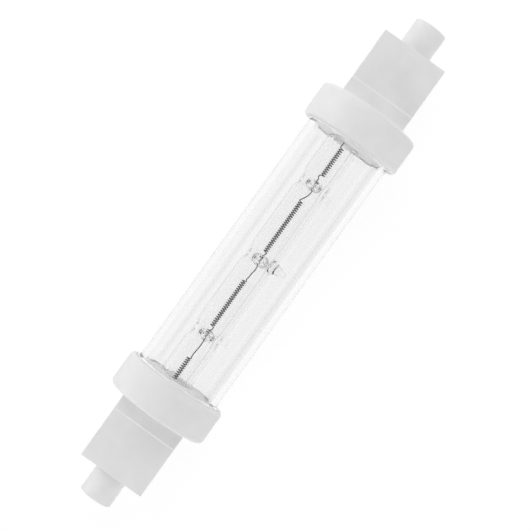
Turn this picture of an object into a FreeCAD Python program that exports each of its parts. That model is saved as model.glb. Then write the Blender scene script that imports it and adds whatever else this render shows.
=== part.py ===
import FreeCAD, Part
import math
import os

import Sketcher

# Linear halogen heat lamp, double ended, with a clear outer jacket.
# A quartz burner with a coiled tungsten filament lies inside a glass jacket, and a
# steatite cap with a recessed contact closes each end. All sizes are millimetres.
# The origin is the middle of the lamp. +X runs along the lamp, and +Z is square to the
# flats of the end blocks. A piece of either end is drawn pointing outwards from the
# middle, and is turned about Y for the left end.

Vector = FreeCAD.Vector
X_AXIS = Vector(1, 0, 0)
Y_AXIS = Vector(0, 1, 0)
Z_AXIS = Vector(0, 0, 1)
SIDES = {"right": 1, "left": -1}

doc = FreeCAD.newDocument("linear_halogen_lamp")

# Driving dimensions
sheet = doc.addObject("Spreadsheet::Sheet", "sizes")
SIZES = [
    ("jacket_diameter", 18.9, "outer glass jacket"),
    ("jacket_wall", 1.35, "outer glass jacket"),
    ("collar_wall", 1.35, "steatite around the bore that takes the jacket"),
    ("collar_length", 7.7, "along the lamp"),
    ("collar_edge", 0.6, "bevel of both collar rims"),
    ("bore_depth", 6.0, "collar bore that takes the jacket"),
    ("cement_gap", 0.45, "cement between the jacket and the collar bore"),
    ("jacket_seat", 0.5, "cement under the end of the jacket"),
    ("cement_proud", 0.35, "cement standing out of the collar"),
    ("block_length", 15.0, "flat block, collar to boss"),
    ("block_width", 14.7, "along Y"),
    ("block_thickness", 10.0, "along Z"),
    ("block_edge", 0.3, "bevel of the block's edges"),
    ("shoulder_length", 3.6, "raised band next to the collar"),
    ("shoulder_rise", 0.45, "height of the band above each flat"),
    ("boss_diameter", 7.1, "round boss that the lampholder takes"),
    ("boss_length", 6.3, "beyond the block"),
    ("boss_edge", 0.4, "bevel of the boss's end"),
    ("recess_diameter", 4.0, "contact recess in the boss"),
    ("recess_depth", 1.7, "boss end to contact face"),
    ("contact_diameter", 3.2, "contact's head"),
    ("contact_clearance", 0.1, "around the contact's head"),
    ("contact_head", 0.8, "thickness of the contact's head"),
    ("contact_edge", 0.2, "bevel of the contact's rim"),
    ("stem_diameter", 1.7, "contact's stem"),
    ("stem_length", 2.6, "contact's stem"),
    ("stem_hole", 2.0, "depth that the lead pin enters"),
    ("lead_bore", 2.6, "passage for the lead pin and stem"),
    ("burner_diameter", 7.3, "quartz burner tube"),
    ("burner_wall", 1.0, "quartz burner tube"),
    ("burner_offset", 0.75, "burner axis off the jacket axis, towards +Y"),
    ("burner_cover", 1.8, "collar face to the end of the burner's round barrel"),
    ("pinch_shoulder", 3.4, "barrel flattening down to the pinch"),
    ("pinch_length", 10.0, "flat pinch seal"),
    ("pinch_width", 9.2, "along Y"),
    ("pinch_thickness", 2.6, "along Z"),
    ("pinch_clearance", 0.5, "cement between the pinch and the slot, along Z"),
    ("pinch_side_gap", 1.3, "cement beside the pinch, along Y"),
    ("pinch_end_gap", 1.0, "cement behind the pinch"),
    ("gas_end_width", 4.6, "closing end of the gas space, along Y"),
    ("gas_end_height", 0.6, "closing end of the gas space, along Z"),
    ("dimple_shift", 0.1, "middle dimple from the lamp's middle"),
    ("dimple_floor_x", 1.6, "length of a dimple's floor"),
    ("dimple_floor_y", 2.6, "width of a dimple's floor"),
    ("dimple_mouth_x", 4.4, "length of a dimple's mouth"),
    ("dimple_mouth_y", 5.0, "width of a dimple's mouth"),
    ("dimple_web", 0.7, "quartz left between the two floors"),
    ("dimple_wall", 0.5, "quartz around a dimple"),
    ("pip_diameter", 3.6, "sealed exhaust pip"),
    ("pip_neck", 1.3, "straight part of the pip above the tube"),
    ("pip_tip", 1.4, "diameter of the pip's tip"),
    ("pip_height", 3.3, "above the tube"),
    ("pip_bore", 1.6, "bore left inside the pip"),
    ("pip_seal", 1.6, "quartz melted shut beyond that bore"),
    ("pip_position", 0.4, "along the lamp"),
    ("wire_diameter", 0.27, "tungsten wire"),
    ("coil_diameter", 1.13, "outside of the coils"),
    ("coil_pitch", 0.5, "one turn to the next"),
    ("coil_axis", 1.0, "coil axis along Y"),
    ("last_coil_axis", 0.5, "axis of the sagging fourth coil, along Y"),
    ("coil_end_gap", 0.25, "outermost coil to the end of the round barrel"),
    ("first_turns", 14, "coil 1"),
    ("first_leg", 5.8, "coil 1 to the dimple after it"),
    ("second_gap", 2.0, "dimple to coil 2"),
    ("second_turns", 23, "coil 2"),
    ("second_leg", 5.15, "coil 2 to the dimple after it"),
    ("third_gap", 1.9, "dimple to coil 3"),
    ("third_turns", 25.5, "coil 3"),
    ("third_leg", 4.0, "coil 3 to the dimple after it"),
    ("fourth_gap", 2.6, "dimple to coil 4"),
    ("fourth_turns", 14, "coil 4"),
    ("leg_sag", 0.35, "sag of a straight leg ahead of its dimple"),
    ("leg_grip", 0.15, "straight wire on each side of a dimple's web"),
    ("foil_length", 8.0, "molybdenum foil in the pinch"),
    ("foil_width", 3.0, "along Y"),
    ("foil_thickness", 0.1, "along Z"),
    ("foil_inset", 1.6, "start of the pinch to the foil"),
    ("weld_length", 1.2, "wire or pin laid into the foil"),
    ("pin_diameter", 0.8, "molybdenum lead pin"),
    ("pin_straight", 1.2, "straight pin beyond the pinch, and before the contact"),
]
for row, (alias, value, meaning) in enumerate(SIZES, start=1):
    sheet.set(f"A{row}", meaning)
    sheet.set(f"B{row}", str(value))
    sheet.setAlias(f"B{row}", alias)
doc.recompute()

# Places that follow from the sizes. The filament comes first: its coils and the dimples
# between them settle the burner's length, and the caps follow the burner. A place is
# measured from the lamp's middle, and one in a cap from that cap's collar face
places = doc.addObject("App::VarSet", "places")
PLACES = [
    ("second_coil", "sizes.dimple_shift - sizes.second_leg - sizes.second_turns * sizes.coil_pitch"),
    ("first_dimple", "places.second_coil - sizes.second_gap"),
    ("first_coil", "places.first_dimple - sizes.first_leg - sizes.first_turns * sizes.coil_pitch"),
    ("third_coil", "sizes.dimple_shift + sizes.third_gap"),
    ("third_dimple", "places.third_coil + sizes.third_turns * sizes.coil_pitch + sizes.third_leg"),
    ("fourth_coil", "places.third_dimple + sizes.fourth_gap"),
    ("fourth_coil_end", "places.fourth_coil + sizes.fourth_turns * sizes.coil_pitch"),
    ("barrel_half", "max(-places.first_coil; places.fourth_coil_end) + sizes.coil_end_gap"),
    ("pinch_start", "places.barrel_half + sizes.pinch_shoulder"),
    ("pinch_end", "places.pinch_start + sizes.pinch_length"),
    ("foil_start", "places.pinch_start + sizes.foil_inset"),
    ("collar_face", "places.barrel_half - sizes.burner_cover"),
    ("slot_end", "places.pinch_end + sizes.pinch_end_gap - places.collar_face"),
    ("block_end", "sizes.collar_length + sizes.block_length"),
    ("cap_end", "places.block_end + sizes.boss_length"),
    ("contact_face", "places.cap_end - sizes.recess_depth"),
    ("contact_seat", "places.contact_face - sizes.contact_head"),
    ("stem_mouth", "places.collar_face + places.contact_seat - sizes.stem_length"),
]
for name, expression in PLACES:
    places.addProperty("App::PropertyFloat", name)
    places.setExpression(name, expression)
doc.recompute()

BORE_DIAMETER = "sizes.jacket_diameter + 2 * sizes.cement_gap"
COLLAR_DIAMETER = f"{BORE_DIAMETER} + 2 * sizes.collar_wall"
SLOT_WIDTH = "sizes.pinch_width + 2 * sizes.pinch_side_gap"
SLOT_HEIGHT = "sizes.pinch_thickness + 2 * sizes.pinch_clearance"


def size(alias):
    return float(sheet.get(alias))


def place(name):
    return getattr(places, name)


# Facets of the wire, which keep its many turns light
TURN_STEPS = 6
WIRE_SIDES = 4


# Sketches
def new_sketch(body, name, role, offset="0"):
    """A sketch on one of the body's own origin planes, moved along the plane's normal."""
    sketch = body.newObject("Sketcher::SketchObject", name)
    plane = next(part for part in body.Origin.OriginFeatures if part.Role == role)
    sketch.AttachmentSupport = [(plane, "")]
    sketch.MapMode = "FlatFace"
    sketch.setExpression("AttachmentOffset.Base.z", offset)
    return sketch


def draw_circle(sketch, diameter):
    """A circle about the sketch's origin."""
    index = sketch.addGeometry(Part.Circle(Vector(), Z_AXIS, 1), False)
    sketch.addConstraint(Sketcher.Constraint("Coincident", index, 3, -1, 1))
    bound = sketch.addConstraint(Sketcher.Constraint("Diameter", index, 2.0))
    sketch.setExpression(f"Constraints[{bound}]", diameter)


def draw_rectangle(sketch, width, height):
    """A rectangle about the sketch's origin."""
    corners = [Vector(-1, -1), Vector(1, -1), Vector(1, 1), Vector(-1, 1)]
    for start, end in zip(corners, corners[1:] + corners[:1]):
        sketch.addGeometry(Part.LineSegment(start, end), False)
    for line in range(4):
        sketch.addConstraint(Sketcher.Constraint("Coincident", line, 2, (line + 1) % 4, 1))
    for line in (0, 2):
        sketch.addConstraint(Sketcher.Constraint("Horizontal", line))
    for line in (1, 3):
        sketch.addConstraint(Sketcher.Constraint("Vertical", line))
    sketch.addConstraint(Sketcher.Constraint("Symmetric", 0, 1, 2, 1, -1, 1))
    wide = sketch.addConstraint(Sketcher.Constraint("DistanceX", 0, 1, 0, 2, 2.0))
    high = sketch.addConstraint(Sketcher.Constraint("DistanceY", 1, 1, 1, 2, 2.0))
    sketch.setExpression(f"Constraints[{wide}]", width)
    sketch.setExpression(f"Constraints[{high}]", height)


def draw_path(sketch, corners):
    """Straight runs from corner to corner, each corner given by expressions for X and Y."""
    for index in range(len(corners) - 1):
        sketch.addGeometry(Part.LineSegment(Vector(index, 0), Vector(index + 1, 0)), False)
    for index in range(len(corners) - 2):
        sketch.addConstraint(Sketcher.Constraint("Coincident", index, 2, index + 1, 1))
    for index, (along, across) in enumerate(corners):
        line, point = (index, 1) if index < len(corners) - 1 else (index - 1, 2)
        for kind, expression in (("DistanceX", along), ("DistanceY", across)):
            bound = sketch.addConstraint(Sketcher.Constraint(kind, -1, 1, line, point, 1.0))
            sketch.setExpression(f"Constraints[{bound}]", expression)


def circle(diameter):
    return lambda sketch: draw_circle(sketch, diameter)


def rectangle(width, height):
    return lambda sketch: draw_rectangle(sketch, width, height)


# Features of a body that is built outwards along its own X axis
def pad(body, name, outline, start, length):
    """Material with this outline, from start over length."""
    sketch = new_sketch(body, name + "_outline", "YZ_Plane", start)
    outline(sketch)
    feature = body.newObject("PartDesign::Pad", name)
    feature.Profile = sketch
    feature.setExpression("Length", length)
    doc.recompute()
    return feature


def pocket(body, name, outline, start, length):
    """A cut with this outline, from start outwards over length."""
    sketch = new_sketch(body, name + "_outline", "YZ_Plane", start)
    outline(sketch)
    before = body.Shape.Volume
    feature = body.newObject("PartDesign::Pocket", name)
    feature.Profile = sketch
    feature.Reversed = True
    feature.setExpression("Length", length)
    doc.recompute()
    if not body.Shape.Volume < before:
        raise RuntimeError(f"{name} cuts nothing")
    return feature


def bevel(body, name, base, amount, test):
    """A bevel on each edge of base that passes the test."""
    chosen = [f"Edge{i}" for i, edge in enumerate(base.Shape.Edges, start=1) if test(edge)]
    feature = body.newObject("PartDesign::Chamfer", name)
    feature.Base = (base, chosen)
    feature.setExpression("Size", amount)
    doc.recompute()
    return feature


def near(first, second):
    return abs(first - second) < 1e-3


def is_ring(edge, radius, along):
    """Whether an edge is a full circle about the X axis, at this place along it."""
    box = edge.BoundBox
    return edge.isClosed() and near(box.ZMax, radius) and near(box.XMin, along) and near(box.XMax, along)


# Solids that are joined with or cut from others
def fuse(name, shapes):
    union = doc.addObject("Part::MultiFuse", name)
    union.Shapes = shapes
    return union


def cut(name, base, tools):
    """Base with every tool taken out of it."""
    difference = doc.addObject("Part::Cut", name)
    difference.Base = base
    difference.Tool = tools[0] if len(tools) == 1 else fuse(name + "_tools", tools)
    return difference


def aim(item, axis, direction, start):
    """Turn the item's own axis to this direction, and move its origin to start."""
    item.Placement = FreeCAD.Placement(Vector(), FreeCAD.Rotation(axis, direction))
    for letter, expression in zip("xyz", start):
        item.setExpression(f"Placement.Base.{letter}", expression)
    return item


def place_outwards(item, side, start="0"):
    """Put an end's piece at its place, measured outwards from the lamp's middle."""
    sign = SIDES[side]
    item.Placement = FreeCAD.Placement(Vector(), FreeCAD.Rotation(Y_AXIS, 0 if sign > 0 else 180))
    item.setExpression("Placement.Base.x", f"{sign} * ({start})")
    return item


def round_bar(name, direction, start, length, radius, end_radius=None):
    """A round bar, tapered where it has an end radius."""
    if end_radius is None:
        bar = doc.addObject("Part::Cylinder", name)
        bar.setExpression("Radius", radius)
    else:
        bar = doc.addObject("Part::Cone", name)
        bar.setExpression("Radius1", radius)
        bar.setExpression("Radius2", end_radius)
    bar.setExpression("Height", length)
    return aim(bar, Z_AXIS, direction, start)


def flat_bar(name, direction, start, length, section, end_section=None):
    """A bar whose section is a half width and a half height, tapered to its end section."""
    bar = doc.addObject("Part::Wedge", name)
    bar.Ymin = 0
    bar.setExpression("Ymax", length)
    for level, halves in (("", section), ("2", end_section or section)):
        for letter, half in zip("XZ", halves):
            bar.setExpression(f"{letter}{level}min", f"-({half})")
            bar.setExpression(f"{letter}{level}max", half)
    return aim(bar, Y_AXIS, direction, start)


def blade(name, direction, start, length, halves, end_halves, radius, end_radius):
    """A tapered bar whose section is a circle with flats: a flat bar inside a cone."""
    shape = doc.addObject("Part::Common", name)
    shape.Base = flat_bar(name + "_flats", direction, start, length, halves, end_halves)
    shape.Tool = round_bar(name + "_round", direction, start, length, radius, end_radius)
    return shape


# Outer jacket: a clear glass tube, open at both ends, which the caps hold
def make_jacket():
    body = doc.addObject("PartDesign::Body", "outer_jacket")

    def outline(sketch):
        draw_circle(sketch, "sizes.jacket_diameter")
        draw_circle(sketch, "sizes.jacket_diameter - 2 * sizes.jacket_wall")

    half = "(places.collar_face + sizes.bore_depth - sizes.jacket_seat)"
    pad(body, "jacket_tube", outline, f"-{half}", f"2 * {half}")
    return body


# End cap: pressed steatite, with a round collar, a flat block and a boss in one piece
def make_end_cap(side):
    body = doc.addObject("PartDesign::Body", f"end_cap_{side}")
    collar_end = size("collar_length")

    block_outline = rectangle("sizes.block_width", "sizes.block_thickness")
    block = pad(body, f"block_{side}", block_outline, "sizes.collar_length", "sizes.block_length")
    bevel(body, f"block_edges_{side}", block, "sizes.block_edge",
          lambda edge: edge.BoundBox.XMax > collar_end + size("block_edge"))

    shoulder_outline = rectangle("sizes.block_width", "sizes.block_thickness + 2 * sizes.shoulder_rise")
    shoulder = pad(body, f"shoulder_{side}", shoulder_outline, "sizes.collar_length",
                   "sizes.shoulder_length")
    shoulder_height = size("block_thickness") / 2 + size("shoulder_rise")
    shoulder_mid = collar_end + size("shoulder_length") / 2
    bevel(body, f"shoulder_edges_{side}", shoulder, "sizes.block_edge",
          lambda edge: near(edge.CenterOfMass.x, shoulder_mid)
          and near(abs(edge.CenterOfMass.z), shoulder_height)
          and near(abs(edge.CenterOfMass.y), size("block_width") / 2))

    collar = pad(body, f"collar_{side}", circle(COLLAR_DIAMETER), "0", "sizes.collar_length")
    collar_radius = size("jacket_diameter") / 2 + size("cement_gap") + size("collar_wall")
    bevel(body, f"collar_edges_{side}", collar, "sizes.collar_edge",
          lambda edge: is_ring(edge, collar_radius, 0) or is_ring(edge, collar_radius, collar_end))

    boss = pad(body, f"boss_{side}", circle("sizes.boss_diameter"), "places.block_end", "sizes.boss_length")
    bevel(body, f"boss_edge_{side}", boss, "sizes.boss_edge",
          lambda edge: is_ring(edge, size("boss_diameter") / 2, place("cap_end")))

    pocket(body, f"jacket_bore_{side}", circle(BORE_DIAMETER), "0", "sizes.bore_depth")
    pocket(body, f"pinch_slot_{side}", rectangle(SLOT_WIDTH, SLOT_HEIGHT), "sizes.bore_depth",
           "places.slot_end - sizes.bore_depth")
    pocket(body, f"lead_passage_{side}", circle("sizes.lead_bore"), "places.slot_end",
           "places.contact_seat - places.slot_end")
    pocket(body, f"contact_seat_{side}", circle("sizes.contact_diameter + 2 * sizes.contact_clearance"),
           "places.contact_seat", "sizes.contact_head")
    pocket(body, f"contact_recess_{side}", circle("sizes.recess_diameter"), "places.contact_face",
           "sizes.recess_depth")
    return place_outwards(body, side, "places.collar_face")


# Contact: a headed metal stud, seated in the boss and crimped on the lead pin
def make_contact(side):
    body = doc.addObject("PartDesign::Body", f"contact_{side}")
    head = pad(body, f"contact_head_{side}", circle("sizes.contact_diameter"), "0", "sizes.contact_head")
    bevel(body, f"contact_rim_{side}", head, "sizes.contact_edge",
          lambda edge: is_ring(edge, size("contact_diameter") / 2, size("contact_head")))
    pad(body, f"contact_stem_{side}", circle("sizes.stem_diameter"), "-sizes.stem_length",
        "sizes.stem_length")
    pocket(body, f"stem_hole_{side}", circle("sizes.pin_diameter"), "-sizes.stem_length",
           "sizes.stem_hole")
    return place_outwards(body, side, "places.collar_face + places.contact_seat")


# Lead pin: molybdenum wire from the foil, through the cap, to the contact. It is bent
# across from the burner's axis to the boss's axis
def make_lead_pin(side):
    start = "places.foil_start + sizes.foil_length - sizes.weld_length"
    path = doc.addObject("Sketcher::SketchObject", f"pin_path_{side}")
    draw_path(path, [
        (start, "sizes.burner_offset"),
        ("places.pinch_end + sizes.pin_straight", "sizes.burner_offset"),
        ("places.stem_mouth - sizes.pin_straight", "0"),
        ("places.stem_mouth + sizes.stem_hole", "0"),
    ])
    section = doc.addObject("Sketcher::SketchObject", f"pin_section_{side}")
    draw_circle(section, "sizes.pin_diameter")
    aim(section, Z_AXIS, X_AXIS, (start, "sizes.burner_offset", "0"))
    doc.recompute()
    pin = doc.addObject("Part::Sweep", f"lead_pin_{side}")
    pin.Sections = [section]
    pin.Spine = (path, [f"Edge{i}" for i in range(1, len(path.Shape.Edges) + 1)])
    pin.Transition = "Right corner"
    pin.Solid = True
    return place_outwards(pin, side)


# Filament: one tungsten wire, wound into four coils. The straight legs between the coils
# are gripped in the burner's dimples, and the end legs are welded to the foils
def dimple_places():
    return [place("first_dimple"), size("dimple_shift"), place("third_dimple")]


def coil_points(start, turns, axis, angle):
    """Points along a coil that starts at this place on +X, at this angle about its axis."""
    radius = (size("coil_diameter") - size("wire_diameter")) / 2
    points = []
    for step in range(int(round(turns * TURN_STEPS)) + 1):
        turned = angle + 2 * math.pi * step / TURN_STEPS
        along = start + size("coil_pitch") * step / TURN_STEPS
        points.append(Vector(along, axis + radius * math.cos(turned), radius * math.sin(turned)))
    return points


def grip_run(middle):
    """The two ends of the straight wire that a dimple grips."""
    reach = size("dimple_floor_x") / 2 + size("dimple_wall") + size("leg_grip")
    offset = size("burner_offset")
    return [Vector(middle - reach, offset, 0), Vector(middle + reach, offset, 0)]


def leg_end(sign):
    """The end of the wire, laid into the foil."""
    return Vector(sign * (place("foil_start") + size("weld_length")), size("burner_offset"), 0)


def leg_root(sign):
    """Where the end leg leaves the pinch for the gas space."""
    start = place("pinch_start") - size("leg_grip") - size("wire_diameter")
    return Vector(sign * start, size("burner_offset"), 0)


def filament_route():
    """Every point of the wire's centre line, from the left foil to the right one."""
    axis = size("coil_axis")
    near_side = math.pi
    coils = [
        coil_points(place("first_coil"), size("first_turns"), axis, near_side),
        coil_points(place("second_coil"), size("second_turns"), axis, near_side),
        coil_points(place("third_coil"), size("third_turns"), axis, near_side),
        coil_points(place("fourth_coil"), size("fourth_turns"), size("last_coil_axis"), 0.0),
    ]
    route = [leg_end(-1), leg_root(-1)]
    for coil, middle in zip(coils[:3], dimple_places()):
        grip = grip_run(middle)
        sagging = (coil[-1] + grip[0]) / 2 - Y_AXIS * size("leg_sag")
        route += coil + [sagging] + grip
    route += coils[3] + [leg_root(1), leg_end(1)]
    return route


def wire_rings(route):
    """The wire's corners at each point: they go straight on from one mitre to the next."""
    radius = size("wire_diameter") / 2
    runs = [(end - start).normalize() for start, end in zip(route, route[1:])]
    normal = runs[0].cross(Z_AXIS).normalize()
    across = runs[0].cross(normal)
    ring = []
    for side in range(WIRE_SIDES):
        angle = 2 * math.pi * side / WIRE_SIDES
        ring.append(route[0] + normal * (radius * math.cos(angle)) + across * (radius * math.sin(angle)))
    rings = [ring]
    for index, run in enumerate(runs):
        point = route[index + 1]
        mitre = run + runs[min(index + 1, len(runs) - 1)]
        ring = [corner + run * ((point - corner).dot(mitre) / run.dot(mitre)) for corner in ring]
        rings.append(ring)
    return rings


def wire_solid(rings):
    """The solid through a row of rings, with flat faces."""
    outlines = [rings[0], rings[-1]]
    for start, end in zip(rings, rings[1:]):
        for corner in range(WIRE_SIDES):
            following = (corner + 1) % WIRE_SIDES
            outlines.append([start[corner], start[following], end[following], end[corner]])
    shell = Part.Shell([Part.Face(Part.makePolygon(outline + outline[:1])) for outline in outlines])
    shell.sewShape()
    return Part.Solid(shell)


def make_filament():
    route = filament_route()
    rings = wire_rings(route)
    wire = doc.addObject("Part::Feature", "filament")
    wire.Shape = wire_solid(rings)

    def stretch(name, start):
        """The stretch of wire from one point of the route to the next, as a cutting tool."""
        index = min(range(len(route)), key=lambda i: route[i].distanceToPoint(start))
        tool = doc.addObject("Part::Feature", name)
        tool.Shape = wire_solid(rings[index:index + 2])
        return tool

    grips = [stretch(f"grip_{index}", grip_run(middle)[0])
             for index, middle in enumerate(dimple_places())]
    ends = {"left": stretch("weld_left", leg_end(-1)), "right": stretch("weld_right", leg_root(1))}
    return wire, grips, ends


# Foil: the thin molybdenum strip in each pinch, with the wire and the pin laid into it
def make_foil(side, wire_end, pin):
    sign = SIDES[side]
    strip = flat_bar(f"foil_strip_{side}", X_AXIS * sign,
                     (f"{sign} * places.foil_start", "sizes.burner_offset", "0"), "sizes.foil_length",
                     ("sizes.foil_width / 2", "sizes.foil_thickness / 2"))
    return cut(f"foil_{side}", strip, [wire_end, pin]), strip


# Burner: one blown quartz tube with a flat pinch at each end, three dimples that grip the
# filament and a sealed exhaust pip
def make_pinch(side):
    """The outside and the gas space of one end, from the round barrel outwards."""
    sign = SIDES[side]
    outwards = X_AXIS * sign
    start = (f"{sign} * places.barrel_half", "sizes.burner_offset", "0")

    def flattening(name, radius, half_width, half_height):
        """Round at the barrel, where the flats just touch the cone, and flat at the pinch."""
        corner = f"sqrt(({half_width})^2 + ({half_height})^2)"
        return blade(name, outwards, start, "sizes.pinch_shoulder", (radius, radius),
                     (half_width, half_height), radius, corner)

    pinch_halves = ("sizes.pinch_width / 2", "sizes.pinch_thickness / 2")
    outside = [
        flattening(f"flattening_{side}", "sizes.burner_diameter / 2", *pinch_halves),
        flat_bar(f"pinch_{side}", outwards, (f"{sign} * places.pinch_start", "sizes.burner_offset", "0"),
                 "sizes.pinch_length", pinch_halves),
    ]
    gas = flattening(f"gas_end_{side}", "sizes.burner_diameter / 2 - sizes.burner_wall",
                     "sizes.gas_end_width / 2", "sizes.gas_end_height / 2")
    return outside, gas


def make_dimple(name, middle, upwards):
    """The crater pressed into the tube, and the larger plug of quartz around it."""
    direction = Z_AXIS * upwards
    mouth = "sizes.burner_diameter / 2 + sizes.dimple_wall"

    def halves(level, grow="0"):
        return tuple(f"sizes.dimple_{level}_{letter} / 2 + {grow}" for letter in "xy")

    floor = "sizes.dimple_web / 2"
    crater = blade(name, direction, (middle, "sizes.burner_offset", f"{upwards} * {floor}"),
                   f"{mouth} - {floor}", halves("floor"), halves("mouth"),
                   "sizes.dimple_floor_y / 2", "sizes.dimple_mouth_y / 2")
    plug = flat_bar(name + "_wall", direction, (middle, "sizes.burner_offset", "0"), mouth,
                    halves("floor", "sizes.dimple_wall"), halves("mouth", "sizes.dimple_wall"))
    return crater, plug


def make_pip():
    """The pip's outside and the bore left inside it, both pointing to -Y."""
    surface = "sizes.burner_diameter / 2"

    def from_axis(height):
        return ("sizes.pip_position", f"sizes.burner_offset - ({height})", "0")

    neck_end = f"{surface} + sizes.pip_neck"
    outside = [
        round_bar("pip_neck", -Y_AXIS, from_axis("0"), neck_end, "sizes.pip_diameter / 2"),
        round_bar("pip_point", -Y_AXIS, from_axis(neck_end), "sizes.pip_height - sizes.pip_neck",
                  "sizes.pip_diameter / 2", "sizes.pip_tip / 2"),
    ]
    bore = round_bar("pip_bore", -Y_AXIS, from_axis("0"),
                     f"{surface} + sizes.pip_height - sizes.pip_seal", "sizes.pip_bore / 2")
    return outside, bore


def make_burner(grips, wire_ends, strips, pins):
    barrel_start = ("-places.barrel_half", "sizes.burner_offset", "0")
    barrel_length = "2 * places.barrel_half"
    outside, bore = make_pip()
    outside.append(round_bar("barrel", X_AXIS, barrel_start, barrel_length, "sizes.burner_diameter / 2"))
    gas = [bore, round_bar("gas_barrel", X_AXIS, barrel_start, barrel_length,
                           "sizes.burner_diameter / 2 - sizes.burner_wall")]
    for side in SIDES:
        pinch_outside, gas_end = make_pinch(side)
        outside += pinch_outside
        gas.append(gas_end)

    craters = []
    plugs = []
    for index, middle in enumerate(["places.first_dimple", "sizes.dimple_shift", "places.third_dimple"]):
        for word, upwards in (("up", 1), ("down", -1)):
            crater, plug = make_dimple(f"dimple_{index}_{word}", middle, upwards)
            craters.append(crater)
            plugs.append(plug)

    gas_space = cut("gas_space", fuse("gas_outline", gas), plugs)
    solid = fuse("burner_outline", outside)
    laid_in = grips + list(wire_ends.values()) + list(strips.values()) + list(pins.values())
    return cut("inner_tube", solid, [gas_space] + craters + laid_in), solid


# Cement: refractory cement that beds the jacket and the pinch in an end cap
def make_cement(side, tools):
    body = doc.addObject("PartDesign::Body", f"cement_fill_{side}")
    pad(body, f"cement_plug_{side}", circle(BORE_DIAMETER), "-sizes.cement_proud",
        "sizes.bore_depth + sizes.cement_proud")
    pad(body, f"cement_slot_{side}", rectangle(SLOT_WIDTH, SLOT_HEIGHT), "sizes.bore_depth",
        "places.slot_end - sizes.bore_depth")
    place_outwards(body, side, "places.collar_face")
    return cut(f"cement_{side}", body, tools)


jacket = make_jacket()
filament, grips, wire_ends = make_filament()
nodes = [jacket, filament]
pins = {}
strips = {}
for side in SIDES:
    pins[side] = make_lead_pin(side)
    foil, strips[side] = make_foil(side, wire_ends[side], pins[side])
    nodes += [make_end_cap(side), make_contact(side), pins[side], foil]
burner, burner_outline = make_burner(grips, wire_ends, strips, pins)
nodes.append(burner)
for side in SIDES:
    nodes.append(make_cement(side, [jacket, burner_outline, pins[side]]))
doc.recompute()

# Check every object, then write one file for each piece
for item in doc.Objects:
    if "Invalid" in item.State or "Error" in item.State:
        raise RuntimeError(f"{item.Label} failed: {item.State}")
os.makedirs("parts", exist_ok=True)
for node in nodes:
    shape = node.Shape
    if shape.isNull() or not shape.isValid() or shape.Volume <= 0:
        raise RuntimeError(f"{node.Label} has no valid solid")
    shape.exportStep(f"parts/{node.Label}.step")
    print(node.Label, len(shape.Solids), "solid", round(shape.Volume, 3), "mm3")
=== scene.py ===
import math

import bpy
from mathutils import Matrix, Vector


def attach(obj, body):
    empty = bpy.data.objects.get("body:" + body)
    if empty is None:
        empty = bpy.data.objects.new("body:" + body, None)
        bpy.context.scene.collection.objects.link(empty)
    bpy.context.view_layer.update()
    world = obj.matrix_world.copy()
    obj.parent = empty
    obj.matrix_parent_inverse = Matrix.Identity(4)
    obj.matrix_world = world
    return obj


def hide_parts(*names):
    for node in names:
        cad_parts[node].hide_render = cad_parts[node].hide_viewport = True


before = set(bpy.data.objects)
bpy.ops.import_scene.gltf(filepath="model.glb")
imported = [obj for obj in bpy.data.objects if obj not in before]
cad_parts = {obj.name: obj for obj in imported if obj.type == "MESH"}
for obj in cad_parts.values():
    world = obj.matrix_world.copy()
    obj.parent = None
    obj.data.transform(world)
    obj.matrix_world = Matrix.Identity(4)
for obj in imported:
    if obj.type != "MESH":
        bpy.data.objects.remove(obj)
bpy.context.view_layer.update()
bpy.ops.object.select_all(action="DESELECT")
MM = 0.001

# Filament. One drawn tungsten wire, wound on a mandrel into four coils. The straight legs
# between the coils run through the burner's dimples, and the end legs are laid into the foils.
WIRE = 0.24 * MM
WIRE_SIDES = 8
COIL_RADIUS = 0.43 * MM
COIL_PITCH = 0.5 * MM
COIL_AXIS = 0.97 * MM
SAGGING_COIL_AXIS = 0.5 * MM
STEPS_PER_HALF_TURN = 6
LEFT_DIMPLE = -18.55 * MM
MIDDLE_DIMPLE = 0.1 * MM
RIGHT_DIMPLE = 18.75 * MM


def select_only(piece):
    """Makes the piece the only one selected, and the active one."""
    bpy.ops.object.select_all(action="DESELECT")
    piece.select_set(True)
    bpy.context.view_layer.objects.active = piece


def join(name, pieces):
    """One mesh from several, under this name."""
    select_only(pieces[0])
    for piece in pieces:
        piece.select_set(True)
    bpy.ops.object.join()
    joined = bpy.context.object
    joined.name = name
    joined.data.name = name
    return joined


def add_coil(start, half_turns, axis_y, side):
    """A circle of wire, screwed along the coil's axis from the given side of it."""
    bpy.ops.mesh.primitive_circle_add(vertices=WIRE_SIDES, radius=WIRE / 2,
                                      location=(start, axis_y, 0))
    coil = bpy.context.object
    bpy.ops.object.mode_set(mode="EDIT")
    bpy.ops.transform.translate(value=(0, side * COIL_RADIUS, 0))
    bpy.ops.object.mode_set(mode="OBJECT")
    winding = coil.modifiers.new("winding", "SCREW")
    winding.axis = "X"
    winding.angle = math.pi
    winding.screw_offset = COIL_PITCH / 2
    winding.iterations = half_turns
    winding.steps = STEPS_PER_HALF_TURN
    winding.render_steps = STEPS_PER_HALF_TURN
    bpy.ops.object.modifier_apply(modifier="winding")
    bpy.ops.object.transform_apply()
    return coil


def add_leg(points):
    """A straight or kinked leg of the wire, through points in millimetres along X and Y."""
    bpy.ops.curve.primitive_nurbs_path_add()
    leg = bpy.context.object
    spline = leg.data.splines[0]
    spline.points.add(max(0, len(points) - len(spline.points)))
    for knot, (x, y) in zip(spline.points, points):
        knot.co = (x * MM, y * MM, 0, 1)
    spline.order_u = 3
    spline.use_endpoint_u = True
    leg.data.bevel_depth = WIRE / 2
    leg.data.bevel_resolution = 2
    leg.data.use_fill_caps = True
    bpy.ops.object.convert(target="MESH")
    return bpy.context.object


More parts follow.
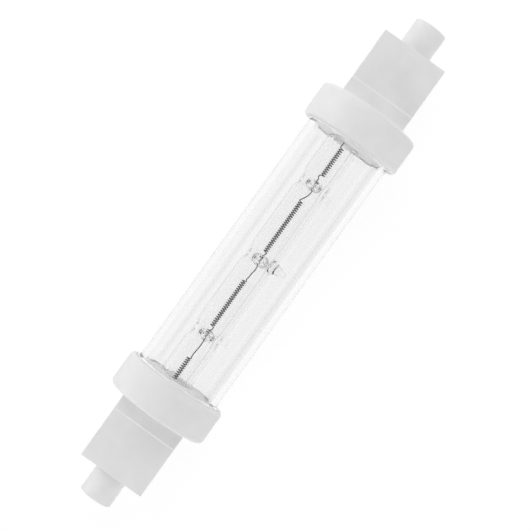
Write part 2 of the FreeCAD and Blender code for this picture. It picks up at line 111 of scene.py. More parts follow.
wire = [
    add_coil(-31.35 * MM, 28, COIL_AXIS, -1),
    add_coil(-16.55 * MM, 46, COIL_AXIS, -1),
    add_coil(2.0 * MM, 51, COIL_AXIS, -1),
    add_coil(21.35 * MM, 28, SAGGING_COIL_AXIS, 1),
    add_leg([(-37.8, 0.75), (-36.2, 0.75), (-34.6, 0.75), (-32.6, 0.62), (-31.35, 0.57)]),
    add_leg([(-24.35, 0.57), (-23.9, 0.74), (-22.6, 0.66), (-21.0, 0.52), (-19.8, 0.58),
             (-18.9, 0.74), (-18.2, 0.80), (-17.6, 1.0), (-17.25, 0.66), (-16.9, 0.46),
             (-16.55, 0.57)]),
    add_leg([(-5.05, 0.57), (-4.7, 0.84), (-4.2, 0.67), (-3.0, 0.62), (-2.0, 0.43), (-1.1, 0.58),
             (-0.57, 0.71), (0.27, 0.80), (0.82, 0.94), (1.3, 0.78), (2.0, 0.57)]),
    add_leg([(14.75, 1.43), (15.3, 1.1), (16.2, 0.62), (17.3, 0.33), (18.2, 0.55), (18.9, 0.8),
             (19.8, 0.85), (20.5, 0.75), (20.95, 1.2), (21.35, 0.93)]),
    add_leg([(28.35, 0.93), (30.0, 0.86), (32.0, 0.78), (34.6, 0.75), (37.8, 0.75)]),
]
filament = join("tungsten_filament", wire)
bpy.ops.object.shade_smooth()


def colour(hex_code):
    """An sRGB hex colour as linear red, green, blue and alpha."""
    values = [int(hex_code[i:i + 2], 16) / 255 for i in (0, 2, 4)]
    return [v / 12.92 if v <= 0.04045 else ((v + 0.055) / 1.055) ** 2.4 for v in values] + [1.0]


def add_node(material, kind, settings=(), inputs=(), links=()):
    """A node with its settings, its input values and its links, each to a node's output."""
    tree = material.node_tree
    node = tree.nodes.new(kind)
    for name, value in dict(settings).items():
        setattr(node, name, value)
    for name, value in dict(inputs).items():
        node.inputs[name].default_value = value
    for name, (source, output) in dict(links).items():
        tree.links.new(source.outputs[output], node.inputs[name])
    return node


def new_material(name, **sockets):
    """A material with one shader, whose plain values are set on the shader's own sockets."""
    material = bpy.data.materials.new(name)
    material.use_nodes = True
    shader = material.node_tree.nodes["Principled BSDF"]
    for socket, value in sockets.items():
        shader.inputs[socket.replace("_", " ")].default_value = value
    return material, shader


def feed(material, source, output, shader, socket):
    """Links a node's output to a socket of a shader that is already there."""
    material.node_tree.links.new(source.outputs[output], shader.inputs[socket])


def dress(piece, material, slot, *nodes):
    """Gives a new piece its material, and lets it stand for its CAD nodes; the slot is not used."""
    piece.data.materials.clear()
    piece.data.materials.append(material)
    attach(piece, "root")
    if nodes:
        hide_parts(*nodes)


# Drawn tungsten: dark grey metal, whose gloss is dulled by a fine grain from the drawing die.
# The grain is made coarser than the real one, so that it shows.
tungsten, shader = new_material("drawn_tungsten", Metallic=1.0, Roughness=0.42)
spot = add_node(tungsten, "ShaderNodeTexCoord")
grain = add_node(tungsten, "ShaderNodeTexNoise", {}, {"Scale": 1 / (0.12 * MM), "Detail": 3.0},
                 {"Vector": (spot, "Object")})
shade = add_node(tungsten, "ShaderNodeValToRGB", {}, {}, {"Fac": (grain, "Fac")})
shade.color_ramp.elements[0].color = colour("2c2c2e")
shade.color_ramp.elements[1].color = colour("4e4e50")
feed(tungsten, shade, "Color", shader, "Base Color")
dress(filament, tungsten, "tungsten", "filament")

# Foils and lead pins. Rolled molybdenum foil is sealed in each pinch, and a molybdenum wire is
# welded to it and led through the cap to the contact. They keep their solids.

# Rolled molybdenum: light grey metal, with fine streaks along the way it was rolled.
molybdenum, shader = new_material("rolled_molybdenum", Metallic=1.0, Roughness=0.35)
spot = add_node(molybdenum, "ShaderNodeTexCoord")
lay = add_node(molybdenum, "ShaderNodeMapping", {}, {"Scale": (0.05, 1.0, 1.0)},
               {"Vector": (spot, "Object")})
streaks = add_node(molybdenum, "ShaderNodeTexNoise", {}, {"Scale": 1 / (0.05 * MM), "Detail": 4.0},
                   {"Vector": (lay, "Vector")})
shade = add_node(molybdenum, "ShaderNodeValToRGB", {}, {}, {"Fac": (streaks, "Fac")})
shade.color_ramp.elements[0].color = colour("8f9092")
shade.color_ramp.elements[1].color = colour("b3b3b4")
feed(molybdenum, shade, "Color", shader, "Base Color")
for side in ("left", "right"):
    for part in ("foil", "lead_pin"):
        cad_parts[f"{part}_{side}"].data.materials[0] = molybdenum

# Contacts. A headed stud, turned from steel and nickel plated, pushed into the boss until its
# face stands at the foot of the recess. It keeps its solid.

# Nickel-plated steel: warm pale metal, with the rings of turning under the plating.
nickel, shader = new_material("nickel_plated_steel", Metallic=1.0, Roughness=0.28)
spot = add_node(nickel, "ShaderNodeTexCoord")
rings = add_node(nickel, "ShaderNodeTexWave", {"wave_type": "RINGS", "rings_direction": "X"},
                 {"Scale": 1 / (0.6 * MM), "Distortion": 0.6, "Detail": 2.0},
                 {"Vector": (spot, "Object")})
shade = add_node(nickel, "ShaderNodeValToRGB", {}, {}, {"Fac": (rings, "Fac")})
shade.color_ramp.elements[0].color = colour("a9a59d")
shade.color_ramp.elements[1].color = colour("c9c6bf")
feed(nickel, shade, "Color", shader, "Base Color")
turning = add_node(nickel, "ShaderNodeBump", {}, {"Strength": 0.25, "Distance": 0.01 * MM},
                   {"Height": (rings, "Fac")})
feed(nickel, turning, "Normal", shader, "Normal")
for side in ("left", "right"):
    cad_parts[f"contact_{side}"].data.materials[0] = nickel

# Burner. One fused quartz tube, blown and pressed while hot: two slots at each of three places
# meet over the wire, a pip seals the exhaust tube, and each end is pinched flat.
BURNER_RADIUS = 3.65 * MM
BURNER_WALL = 1.22 * MM
BORE_OF_BURNER = BURNER_RADIUS - BURNER_WALL
BURNER_Y = 0.75 * MM
BARREL_HALF = 31.6 * MM
FLATTENING = 3.4 * MM
PINCH = (10.0 * MM, 9.2 * MM, 2.6 * MM)
PINCH_ROUNDING = 0.4 * MM
GAS_END = (4.6 * MM, 0.6 * MM)
OUTER_SLOT = {"half_x": 0.1 * MM, "half_y": 0.8 * MM, "floor": 1.0 * MM, "reach": 0.75 * MM,
              "drawn_in": 0.2 * MM}
INNER_SLOT = {"half_x": 0.2 * MM, "half_y": 0.9 * MM, "floor": 0.06 * MM, "reach": 0.9 * MM,
              "drawn_in": 0.22 * MM}
SIDE_PATCH = 0.3 * MM
SIDE_REACH = 2.4 * MM
PIP_X = 0.4 * MM
PIP_HEIGHT = 2.6 * MM
PIP_TIP = 0.4 * MM
PIP_REACH = 1.0 * MM
TUBE_SIDES = 160
RINGS = 80
EXTRA_RINGS = 4
EXTRA_RINGS_REACH = 3.2 * MM
SAME_PLACE = 0.01 * MM


def pick(piece, kind, test):
    """Selects each vertex, edge or face of the piece whose corner points pass the test."""
    bpy.ops.object.mode_set(mode="EDIT")
    bpy.ops.mesh.select_mode(type=kind)
    bpy.ops.mesh.select_all(action="DESELECT")
    bpy.ops.object.mode_set(mode="OBJECT")
    mesh = piece.data
    if kind == "VERT":
        for vertex in mesh.vertices:
            vertex.select = test([vertex.co])
    else:
        for item in mesh.edges if kind == "EDGE" else mesh.polygons:
            item.select = test([mesh.vertices[i].co for i in item.vertices])
    bpy.ops.object.mode_set(mode="EDIT")


def draw_tube(radius):
    """A round tube along X, open at both ends, with close rings where it is shaped later."""
    bpy.ops.mesh.primitive_cylinder_add(vertices=TUBE_SIDES, radius=radius, depth=2 * BARREL_HALF,
                                        end_fill_type="NOTHING", location=(0, BURNER_Y, 0),
                                        rotation=(0, math.pi / 2, 0))
    tube = bpy.context.object
    bpy.ops.object.transform_apply()

    def lengthwise(ends):
        return abs(ends[0].x - ends[1].x) > SAME_PLACE

    def shaped_later(ends):
        middle = (ends[0].x + ends[1].x) / 2
        return lengthwise(ends) and any(abs(middle - place) < EXTRA_RINGS_REACH
                                        for place in (LEFT_DIMPLE, MIDDLE_DIMPLE, RIGHT_DIMPLE))

    pick(tube, "EDGE", lengthwise)
    bpy.ops.mesh.subdivide(number_cuts=RINGS)
    pick(tube, "EDGE", shaped_later)
    bpy.ops.mesh.subdivide(number_cuts=EXTRA_RINGS)
    return tube


def press(piece, test, move, reach):
    """Moves the vertices that pass the test, and drags the hot glass around them along."""
    pick(piece, "VERT", test)
    bpy.ops.transform.translate(value=move, use_proportional_edit=True,
                                use_proportional_connected=False,
                                proportional_edit_falloff="SMOOTH", proportional_size=reach)
    bpy.ops.object.mode_set(mode="OBJECT")


def press_dimples(tube, radius, half_x, half_y, floor, reach, drawn_in):
    """A slot pressed from above and below at each dimple, and sides that are drawn in a little."""
    for place in (LEFT_DIMPLE, MIDDLE_DIMPLE, RIGHT_DIMPLE):
        pick(tube, "VERT", lambda at: abs(at[0].x - place) < half_x
             and abs(at[0].y - BURNER_Y) < half_y)
        bpy.ops.transform.resize(value=(1, 1, floor / radius), center_override=(place, BURNER_Y, 0),
                                 use_proportional_edit=True, use_proportional_connected=False,
                                 proportional_edit_falloff="SMOOTH", proportional_size=reach)
        bpy.ops.object.mode_set(mode="OBJECT")
        for side in (1, -1):
            press(tube, lambda at: abs(at[0].x - place) < SIDE_PATCH and abs(at[0].z) < SIDE_PATCH
                  and (at[0].y - BURNER_Y) * side > radius / 2, (0, -side * drawn_in, 0), SIDE_REACH)


def close_end(tube, sign, width, height):
    """Draws the tube's end ring out, flattens it and closes it."""
    pick(tube, "EDGE", lambda ends: min(end.x * sign for end in ends) > BARREL_HALF - SAME_PLACE)
    radius = max(vertex.co.z for vertex in tube.data.vertices)
    bpy.ops.mesh.extrude_region_move(TRANSFORM_OT_translate={"value": (sign * FLATTENING, 0, 0)})
    bpy.ops.transform.resize(value=(1, width / (2 * radius), height / (2 * radius)),
                             center_override=(sign * (BARREL_HALF + FLATTENING), BURNER_Y, 0))
    bpy.ops.mesh.edge_face_add()
    bpy.ops.object.mode_set(mode="OBJECT")


quartz_outside = draw_tube(BURNER_RADIUS)
press_dimples(quartz_outside, BURNER_RADIUS, **OUTER_SLOT)
press(quartz_outside, lambda at: math.hypot(at[0].x - PIP_X, at[0].z) < PIP_TIP and at[0].y < 0,
      (0, -PIP_HEIGHT, 0), PIP_REACH)
gas_space = draw_tube(BORE_OF_BURNER)
press_dimples(gas_space, BORE_OF_BURNER, **INNER_SLOT)
pinches = []
for sign in (1, -1):
    close_end(quartz_outside, sign, PINCH[1], PINCH[2])
    close_end(gas_space, sign, *GAS_END)
    middle = sign * (BARREL_HALF + FLATTENING + PINCH[0] / 2)
    bpy.ops.mesh.primitive_cube_add(size=1, scale=PINCH, location=(middle, BURNER_Y, 0))
    pinch = bpy.context.object
    bpy.ops.object.transform_apply()
    bpy.ops.object.mode_set(mode="EDIT")
    bpy.ops.mesh.bevel(offset=PINCH_ROUNDING, segments=3, affect="EDGES")
    bpy.ops.object.mode_set(mode="OBJECT")
    pinches.append(pinch)
select_only(gas_space)
bpy.ops.object.mode_set(mode="EDIT")
bpy.ops.mesh.select_all(action="SELECT")
bpy.ops.mesh.flip_normals()
bpy.ops.object.mode_set(mode="OBJECT")
burner = join("quartz_burner", [quartz_outside, gas_space] + pinches)
bpy.ops.object.shade_smooth_by_angle(angle=math.radians(50))


def let_lamps_through(material, shader):
    """Clear glass throws hardly any shadow, so rays from the lamps pass it unbent."""
    path = add_node(material, "ShaderNodeLightPath")
    clear = add_node(material, "ShaderNodeBsdfTransparent", {}, {"Color": colour("fdfdfd")})
    either = add_node(material, "ShaderNodeMixShader", {}, {},
                      {"Fac": (path, "Is Shadow Ray"), 1: (shader, "BSDF"), 2: (clear, "BSDF")})
    feed(material, either, "Shader", material.node_tree.nodes["Material Output"], "Surface")


# Fused quartz: water clear and fire polished, with drawing lines along the tube that take a
# little more light than the glass between them.
quartz, shader = new_material("fused_quartz", Roughness=0.0, IOR=1.458, Transmission_Weight=1.0)
spot = add_node(quartz, "ShaderNodeTexCoord")
lay = add_node(quartz, "ShaderNodeMapping", {}, {"Scale": (0.02, 1.0, 1.0)},
               {"Vector": (spot, "Object")})
lines = add_node(quartz, "ShaderNodeTexNoise", {}, {"Scale": 1 / (1 * MM), "Detail": 2.0},
                 {"Vector": (lay, "Vector")})
shade = add_node(quartz, "ShaderNodeValToRGB", {}, {}, {"Fac": (lines, "Fac")})
shade.color_ramp.elements[0].position = 0.35
shade.color_ramp.elements[0].color = colour("fcfcfc")
shade.color_ramp.elements[1].position = 0.65
shade.color_ramp.elements[1].color = colour("fefefe")
feed(quartz, shade, "Color", shader, "Base Color")
let_lamps_through(quartz, shader)
dress(burner, quartz, "quartz_glass", "inner_tube")

# Outer jacket. A length of clear drawn borosilicate tube, with its ends melted round, that
# stands in the cement of both caps.
JACKET_RADIUS = 9.45 * MM
JACKET_WALL = 1.35 * MM
JACKET_LENGTH = 70.6 * MM
JACKET_RINGS = 23
MELTED_EDGE = 0.3 * MM
bpy.ops.mesh.primitive_cylinder_add(vertices=TUBE_SIDES, radius=JACKET_RADIUS, depth=JACKET_LENGTH,
                                    end_fill_type="NOTHING", rotation=(0, math.pi / 2, 0))
jacket = bpy.context.object
bpy.ops.object.transform_apply()
pick(jacket, "EDGE", lambda ends: abs(ends[0].x - ends[1].x) > SAME_PLACE)
bpy.ops.mesh.subdivide(number_cuts=JACKET_RINGS)
bpy.ops.object.mode_set(mode="OBJECT")
wall = jacket.modifiers.new("wall", "SOLIDIFY")
wall.thickness = JACKET_WALL
wall.offset = -1
bpy.ops.object.modifier_apply(modifier="wall")
melted = jacket.modifiers.new("melted_rim", "BEVEL")
melted.width = MELTED_EDGE
melted.segments = 3
melted.limit_method = "ANGLE"
melted.angle_limit = math.radians(50)
bpy.ops.object.modifier_apply(modifier="melted_rim")
bpy.ops.object.shade_smooth_by_angle(angle=math.radians(40))
jacket.name = "glass_jacket"

# Drawn borosilicate glass: clear, with the faint cords of a drawn tube, broad streaks along it
# that are a shade greyer than the glass between them.
borosilicate, shader = new_material("drawn_borosilicate", Roughness=0.0, IOR=1.473,
                                    Transmission_Weight=1.0)
spot = add_node(borosilicate, "ShaderNodeTexCoord")
lay = add_node(borosilicate, "ShaderNodeMapping", {}, {"Scale": (0.03, 1.0, 1.0)},
               {"Vector": (spot, "Object")})
cords = add_node(borosilicate, "ShaderNodeTexNoise", {}, {"Scale": 1 / (3 * MM), "Detail": 2.0},
                 {"Vector": (lay, "Vector")})
shade = add_node(borosilicate, "ShaderNodeValToRGB", {}, {}, {"Fac": (cords, "Fac")})
shade.color_ramp.elements[0].position = 0.35
shade.color_ramp.elements[0].color = colour("f4f4f4")
shade.color_ramp.elements[1].position = 0.65
shade.color_ramp.elements[1].color = colour("f9f9f9")
feed(borosilicate, shade, "Color", shader, "Base Color")
let_lamps_through(borosilicate, shader)
dress(jacket, borosilicate, "jacket_glass", "outer_jacket")

# End caps. Each is one piece of steatite, pressed dry and fired: a round collar, a flat block
# with a raised band beside the collar, and a round boss with the contact's recess in its end.
COLLAR_FACE = 29.8 * MM
COLLAR_RADIUS = 11.25 * MM
COLLAR_LENGTH = 7.7 * MM
COLLAR_ROUNDING = 0.9 * MM
BORE_RADIUS = 9.9 * MM
BORE_DEPTH = 6.0 * MM
BLOCK = (15.0 * MM, 14.7 * MM, 10.0 * MM)
BAND_LENGTH = 3.6 * MM
BAND_RISE = 0.3 * MM
BAND_SLOPE = 0.2 * MM
BOSS_RADIUS = 3.55 * MM
BOSS_LENGTH = 6.3 * MM
RECESS_RADIUS = 2.0 * MM
RECESS_DEPTH = 1.7 * MM
SEAT_RADIUS = 1.7 * MM
SEAT_DEPTH = 0.8 * MM
ROOT = 1.0 * MM
SOFTENING = 0.4 * MM
COLLAR_SIDES = 128
BOSS_SIDES = 64


def add_round_bar(start, length, radius, sides):
    """A solid round bar along X, pointing outwards from the middle of the lamp."""
    bpy.ops.mesh.primitive_cylinder_add(vertices=sides, radius=radius, depth=length,
                                        location=(start + length / 2, 0, 0),
                                        rotation=(0, math.pi / 2, 0))
    bar = bpy.context.object
    bpy.ops.object.transform_apply()
    return bar


def sink(piece, at_x, from_radius, to_radius, depth):
    """Sinks a round hole, this deep along X, into the flat face of this radius at this place."""
    pick(piece, "FACE", lambda corners: all(abs(c.x - at_x) < SAME_PLACE for c in corners)
         and max(math.hypot(c.y, c.z) for c in corners) < from_radius + SAME_PLACE)
    bpy.ops.mesh.inset(thickness=from_radius - to_radius)
    bpy.ops.mesh.extrude_region_move(TRANSFORM_OT_translate={"value": (depth, 0, 0)})
    bpy.ops.object.mode_set(mode="OBJECT")


def unite(piece, other):
    """Joins another solid to the piece, with no wall left between them."""
    union = piece.modifiers.new("union", "BOOLEAN")
    union.operation = "UNION"
    union.solver = "EXACT"
    union.object = other
    select_only(piece)
    bpy.ops.object.modifier_apply(modifier="union")
    bpy.data.objects.remove(other)


def press_cap():
    """The cap of the right-hand end."""
    back = COLLAR_FACE + COLLAR_LENGTH
    collar = add_round_bar(COLLAR_FACE, COLLAR_LENGTH, COLLAR_RADIUS, COLLAR_SIDES)
    pick(collar, "EDGE", lambda ends: abs(ends[0].x - ends[1].x) < SAME_PLACE)
    bpy.ops.mesh.bevel(offset=COLLAR_ROUNDING, segments=6, affect="EDGES")
    bpy.ops.object.mode_set(mode="OBJECT")
    sink(collar, COLLAR_FACE, COLLAR_RADIUS - COLLAR_ROUNDING, BORE_RADIUS, BORE_DEPTH)

    bpy.ops.mesh.primitive_cube_add(size=1, scale=(BLOCK[0] + ROOT, BLOCK[1], BLOCK[2]),
                                    location=(back + (BLOCK[0] - ROOT) / 2, 0, 0))
    block = bpy.context.object
    bpy.ops.object.transform_apply()
    bpy.ops.object.mode_set(mode="EDIT")
    bpy.ops.mesh.select_all(action="SELECT")
    bpy.ops.mesh.bisect(plane_co=(back + BAND_LENGTH, 0, 0), plane_no=(1, 0, 0))
    for up in (1, -1):
        pick(block, "FACE", lambda corners: all(c.z * up > BLOCK[2] / 2 - SAME_PLACE for c in corners)
             and max(c.x for c in corners) < back + BAND_LENGTH + SAME_PLACE)
        bpy.ops.mesh.extrude_region_move(TRANSFORM_OT_translate={"value": (0, 0, up * BAND_RISE)})
        pick(block, "VERT", lambda at: at[0].z * up > (BLOCK[2] + BAND_RISE) / 2
             and at[0].x > back + BAND_LENGTH - SAME_PLACE)
        bpy.ops.transform.translate(value=(-BAND_SLOPE, 0, 0))
    bpy.ops.object.mode_set(mode="OBJECT")

    boss = add_round_bar(back + BLOCK[0] - ROOT, BOSS_LENGTH + ROOT, BOSS_RADIUS, BOSS_SIDES)
    unite(collar, block)
    unite(collar, boss)
    # The boss's short sides hold the softening to about half of its width
    softened = collar.modifiers.new("softened", "BEVEL")
    softened.width = SOFTENING
    softened.segments = 4
    softened.limit_method = "ANGLE"
    softened.angle_limit = math.radians(40)
    bpy.ops.object.modifier_apply(modifier="softened")
    end = back + BLOCK[0] + BOSS_LENGTH
    end_radius = max(math.hypot(vertex.co.y, vertex.co.z) for vertex in collar.data.vertices
                     if vertex.co.x > end - SAME_PLACE / 10)
    sink(collar, end, end_radius, RECESS_RADIUS, -RECESS_DEPTH)
    sink(collar, end - RECESS_DEPTH, RECESS_RADIUS, SEAT_RADIUS, -SEAT_DEPTH)
    bpy.ops.object.shade_smooth_by_angle(angle=math.radians(35))
    return collar


def copy_to_left(name):
    """A copy of the piece just made, turned half round to the left-hand end."""
    bpy.ops.object.duplicate()
    copy = bpy.context.object
    copy.name = name
    bpy.ops.transform.rotate(value=math.pi, orient_axis="Y", center_override=(0, 0, 0))
    bpy.ops.object.transform_apply()
    return copy


right_cap = press_cap()
right_cap.name = "steatite_cap_right"
left_cap = copy_to_left("steatite_cap_left")

# Pressed steatite: a fine, dense, unglazed white ceramic. It is dead matt, with faint clouding
# from the powder and a skin of very small pits, made coarser than the real ones so that they show.
steatite, shader = new_material("pressed_steatite", Roughness=0.62, IOR=1.5)
spot = add_node(steatite, "ShaderNodeTexCoord")
clouds = add_node(steatite, "ShaderNodeTexNoise", {},
                  {"Scale": 1 / (5 * MM), "Detail": 4.0, "Roughness": 0.6},
                  {"Vector": (spot, "Object")})
shade = add_node(steatite, "ShaderNodeValToRGB", {}, {}, {"Fac": (clouds, "Fac")})
shade.color_ramp.elements[0].position = 0.3
shade.color_ramp.elements[0].color = colour("dfdfdf")
shade.color_ramp.elements[1].position = 0.7
shade.color_ramp.elements[1].color = colour("e5e5e5")
feed(steatite, shade, "Color", shader, "Base Color")
grit = add_node(steatite, "ShaderNodeTexNoise", {},
                {"Scale": 1 / (0.35 * MM), "Detail": 5.0, "Roughness": 0.65},
                {"Vector": (spot, "Object")})
pits = add_node(steatite, "ShaderNodeBump", {}, {"Strength": 0.25, "Distance": 0.05 * MM},
                {"Height": (grit, "Fac")})
feed(steatite, pits, "Normal", shader, "Normal")
dress(right_cap, steatite, "steatite", "end_cap_right")
dress(left_cap, steatite, "steatite", "end_cap_left")

# Cement. A white refractory paste that is pushed into the collar around the jacket and the
# pinch. It sets with a lumpy face, which shows through the glass at the mouth of each collar.
CEMENT_FACE = COLLAR_FACE - 0.25 * MM
JACKET_FIT = 0.02 * MM
LUMP_SIZE = 3.2 * MM
LUMP_HEIGHT = 0.7 * MM
CEMENT_SIDES = 144
CEMENT_PROFILE = [
    (COLLAR_FACE + 0.3 * MM, BORE_RADIUS),
    (CEMENT_FACE + 0.1 * MM, BORE_RADIUS),
    (CEMENT_FACE, BORE_RADIUS - 0.15 * MM),
    (CEMENT_FACE, JACKET_RADIUS + 0.15 * MM),
    (CEMENT_FACE + 0.1 * MM, JACKET_RADIUS + JACKET_FIT),
    (JACKET_LENGTH / 2 + JACKET_FIT, JACKET_RADIUS + JACKET_FIT),
    (JACKET_LENGTH / 2 + JACKET_FIT, JACKET_RADIUS - JACKET_WALL - JACKET_FIT),
    (CEMENT_FACE + 0.2 * MM, JACKET_RADIUS - JACKET_WALL - JACKET_FIT)]
CEMENT_PROFILE += [(CEMENT_FACE, radius * MM) for radius in (7.9, 7.4, 6.7, 5.9, 5.2, 4.6)]


def fill_collar(name):
    """The cement of the right-hand end: a plug that grips the jacket, with a lumpy face."""
    bottom = COLLAR_FACE + BORE_DEPTH
    bpy.ops.mesh.primitive_circle_add(vertices=CEMENT_SIDES, radius=BORE_RADIUS, fill_type="NGON",
                                      location=(bottom, 0, 0), rotation=(0, math.pi / 2, 0))
    plug = bpy.context.object
    bpy.ops.object.transform_apply()
    pick(plug, "EDGE", lambda ends: True)
    at_x, at_radius = bottom, BORE_RADIUS
    for next_x, next_radius in CEMENT_PROFILE:
        bpy.ops.mesh.extrude_region_move(TRANSFORM_OT_translate={"value": (next_x - at_x, 0, 0)})
        bpy.ops.transform.resize(value=(1, next_radius / at_radius, next_radius / at_radius),
                                 center_override=(next_x, 0, 0))
        at_x, at_radius = next_x, next_radius
    bpy.ops.mesh.extrude_region_move(TRANSFORM_OT_translate={"value": (0, BURNER_Y, 0)})
    bpy.ops.transform.resize(value=(1, BURNER_RADIUS / at_radius, BURNER_RADIUS / at_radius),
                             center_override=(at_x, BURNER_Y, 0))
    bpy.ops.mesh.edge_face_add()
    bpy.ops.mesh.select_all(action="SELECT")
    bpy.ops.mesh.normals_make_consistent(inside=False)
    bpy.ops.object.mode_set(mode="OBJECT")
    face = plug.vertex_groups.new(name="face")
    front = [vertex.index for vertex in plug.data.vertices if vertex.co.x < CEMENT_FACE + 0.15 * MM]
    face.add(front, 1.0, "REPLACE")
    lumps = bpy.data.textures.new(name + "_lumps", "CLOUDS")
    lumps.noise_scale = LUMP_SIZE
    lumps.noise_depth = 0
    raised = plug.modifiers.new("lumps", "DISPLACE")
    raised.texture = lumps
    raised.texture_coords = "LOCAL"
    raised.direction = "X"
    raised.strength = -LUMP_HEIGHT
    raised.mid_level = 0.5
    raised.vertex_group = "face"
    bpy.ops.object.modifier_apply(modifier="lumps")
    plug.vertex_groups.clear()
    bpy.ops.object.shade_smooth_by_angle(angle=math.radians(60))
    plug.name = name
    return plug


right_cement = fill_collar("refractory_cement_right")
left_cement = copy_to_left("refractory_cement_left")

# Refractory cement: set like plaster, chalk white and rough, with a grain of fine sand.
cement, shader = new_material("set_refractory_cement", Roughness=0.85, IOR=1.5)
spot = add_node(cement, "ShaderNodeTexCoord")
sand = add_node(cement, "ShaderNodeTexNoise", {},
                {"Scale": 1 / (0.6 * MM), "Detail": 5.0, "Roughness": 0.6},
                {"Vector": (spot, "Object")})
shade = add_node(cement, "ShaderNodeValToRGB", {}, {}, {"Fac": (sand, "Fac")})
shade.color_ramp.elements[0].position = 0.3
shade.color_ramp.elements[0].color = colour("ebebeb")
shade.color_ramp.elements[1].position = 0.7
shade.color_ramp.elements[1].color = colour("fafafa")
feed(cement, shade, "Color", shader, "Base Color")
grains = add_node(cement, "ShaderNodeBump", {}, {"Strength": 0.5, "Distance": 0.1 * MM},
                  {"Height": (sand, "Fac")})
feed(cement, grains, "Normal", shader, "Normal")
dress(right_cement, cement, "refractory_cement", "cement_right")
dress(left_cement, cement, "refractory_cement", "cement_left")

# Floor. The lamp lies on its collars on a plain white table that is lit from below and still takes
# the lamp's faint shadow. Far over to -Y, at a low angle, the table's glow is painted darker: a
# painted shade that stands in for the dim side of the room and draws the fine dark line along the
# burner's edge.
TABLE_SIZE = 3
TABLE_LIGHT = (1.03, 1.03, 1.03, 1.0)
SHARE_OF_LIGHT = 0.9
DIM_SIDE = (-10 * MM, -12 * MM)
LOW_ANGLE = (0.6, 0.72)
DIM_LEVEL = 0.05
bpy.ops.mesh.primitive_plane_add(size=TABLE_SIZE, location=(0, 0, -COLLAR_RADIUS - SAME_PLACE))
table = bpy.context.object
table.name = "white_table"
white = bpy.data.materials.new("white_table")
white.use_nodes = True
white.node_tree.nodes.clear()
path = add_node(white, "ShaderNodeLightPath")
to_eye = add_node(white, "ShaderNodeMath", {"operation": "ADD"}, {},
                  {0: (path, "Is Camera Ray"), 1: (path, "Is Glossy Ray")})
seen = add_node(white, "ShaderNodeMath", {"operation": "ADD"}, {},
                {0: (to_eye, "Value"), 1: (path, "Is Transmission Ray")})
share = add_node(white, "ShaderNodeMath", {"operation": "MULTIPLY", "use_clamp": True},
                 {1: SHARE_OF_LIGHT}, {0: (seen, "Value")})
paper = add_node(white, "ShaderNodeBsdfDiffuse", {}, {"Color": colour("f2f2f2")})
spot = add_node(white, "ShaderNodeTexCoord")
across = add_node(white, "ShaderNodeSeparateXYZ", {}, {}, {"Vector": (spot, "Object")})
# Painted shade: far over to -Y, and only where rays meet the table at a low angle, its glow drops to
# DIM_LEVEL.
beside = add_node(white, "ShaderNodeMapRange", {},
                  {"From Min": DIM_SIDE[0], "From Max": DIM_SIDE[1]}, {"Value": (across, "Y")})
slope = add_node(white, "ShaderNodeLayerWeight", {}, {"Blend": 0.5})
grazing = add_node(white, "ShaderNodeMapRange", {},
                   {"From Min": LOW_ANGLE[0], "From Max": LOW_ANGLE[1]}, {"Value": (slope, "Facing")})
dim = add_node(white, "ShaderNodeMath", {"operation": "MULTIPLY"}, {},
               {0: (beside, "Result"), 1: (grazing, "Result")})
bright = add_node(white, "ShaderNodeMapRange", {}, {"To Min": 1.0, "To Max": DIM_LEVEL},
                  {"Value": (dim, "Value")})
level = add_node(white, "ShaderNodeMath", {"operation": "MAXIMUM"}, {},
                 {0: (bright, "Result"), 1: (path, "Is Camera Ray")})
lit = add_node(white, "ShaderNodeEmission", {}, {"Color": TABLE_LIGHT},
               {"Strength": (level, "Value")})
either = add_node(white, "ShaderNodeMixShader", {}, {},
                  {"Fac": (share, "Value"), 1: (paper, "BSDF"), 2: (lit, "Emission")})
surface = add_node(white, "ShaderNodeOutputMaterial", {}, {}, {"Surface": (either, "Shader")})
table.data.materials.append(white)

# Light. A white tent, plain to the eye and in glass. Soft lamps shine through its cloth: one above
# each end, one from +Y, and low ones from -Y and from both ends.
ROOM_LIGHT = 0.1
world = bpy.data.worlds.new("white_room")
bpy.context.scene.world = world
world.use_nodes = True
path = add_node(world, "ShaderNodeLightPath")
to_eye = add_node(world, "ShaderNodeMath", {"operation": "ADD"}, {},
                  {0: (path, "Is Camera Ray"), 1: (path, "Is Glossy Ray")})
seen = add_node(world, "ShaderNodeMath", {"operation": "ADD"}, {},
                {0: (to_eye, "Value"), 1: (path, "Is Transmission Ray")})
level = add_node(world, "ShaderNodeMapRange", {}, {"To Min": ROOM_LIGHT, "To Max": 1.0},
                 {"Value": (seen, "Value")})
room = world.node_tree.nodes["Background"]
room.inputs["Color"].default_value = (1, 1, 1, 1)
feed(world, level, "Result", room, "Strength")


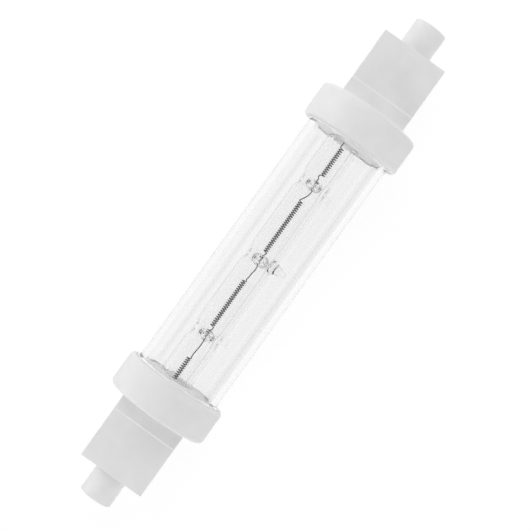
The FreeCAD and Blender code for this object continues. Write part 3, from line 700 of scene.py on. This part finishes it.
def add_soft_lamp(name, place, size, power):
    """A square soft lamp that faces the object."""
    data = bpy.data.lights.new(name, "AREA")
    data.size = size
    data.energy = power
    lamp = bpy.data.objects.new(name, data)
    bpy.context.scene.collection.objects.link(lamp)
    lamp.location = place
    lamp.rotation_euler = (-Vector(place)).to_track_quat("-Z", "Y").to_euler()
    lamp.visible_camera = False
    lamp.visible_glossy = False
    lamp.visible_transmission = False


add_soft_lamp("high_right", (0.65, 0.3, 0.75), 0.8, 4.9)
add_soft_lamp("high_left", (-0.65, 0.3, 0.75), 0.8, 1.6)
add_soft_lamp("back", (0.0, 0.95, 0.38), 0.8, 4.4)
add_soft_lamp("low_front", (0.0, -1.0, 0.15), 0.9, 7.7)
add_soft_lamp("low_right", (0.95, 0.0, 0.25), 0.8, 3.0)
add_soft_lamp("low_left", (-0.95, 0.0, 0.25), 0.8, 6.0)

# Camera. It looks straight down on the lamp from 298 mm above its axis, with the lamp's length
# turned 54.34 degrees in the picture, and its middle 2 pixels up and left of the centre.
CAMERA_HEIGHT = 298 * MM
TURN = 54.34
PICTURE_WIDTH = 530
PIXELS_PER_MM = 4.90
PIXELS_OFF_CENTRE = 2
SENSOR = 36.0
LIGHT_BENDS = 24
camera_data = bpy.data.cameras.new("camera")
camera_data.sensor_width = SENSOR
camera_data.lens = SENSOR * CAMERA_HEIGHT / (PICTURE_WIDTH / PIXELS_PER_MM * MM)
camera_data.shift_x = PIXELS_OFF_CENTRE / PICTURE_WIDTH
camera_data.shift_y = -PIXELS_OFF_CENTRE / PICTURE_WIDTH
camera_data.clip_start = 0.01
camera = bpy.data.objects.new("camera", camera_data)
bpy.context.scene.collection.objects.link(camera)
camera.location = (0, 0, CAMERA_HEIGHT)
camera.rotation_euler = (0, 0, math.radians(-TURN))
bpy.context.scene.camera = camera
# Light bends many times in two tubes one inside the other. The denoiser clears what noise is
# left, and works on plain passes, because smoothed ones blur the coils' turns.
bpy.context.scene.cycles.max_bounces = LIGHT_BENDS
bpy.context.scene.cycles.transmission_bounces = LIGHT_BENDS
bpy.context.scene.cycles.use_denoising = True
bpy.context.scene.cycles.denoising_prefilter = "NONE"
bpy.context.scene.view_settings.view_transform = "Standard"
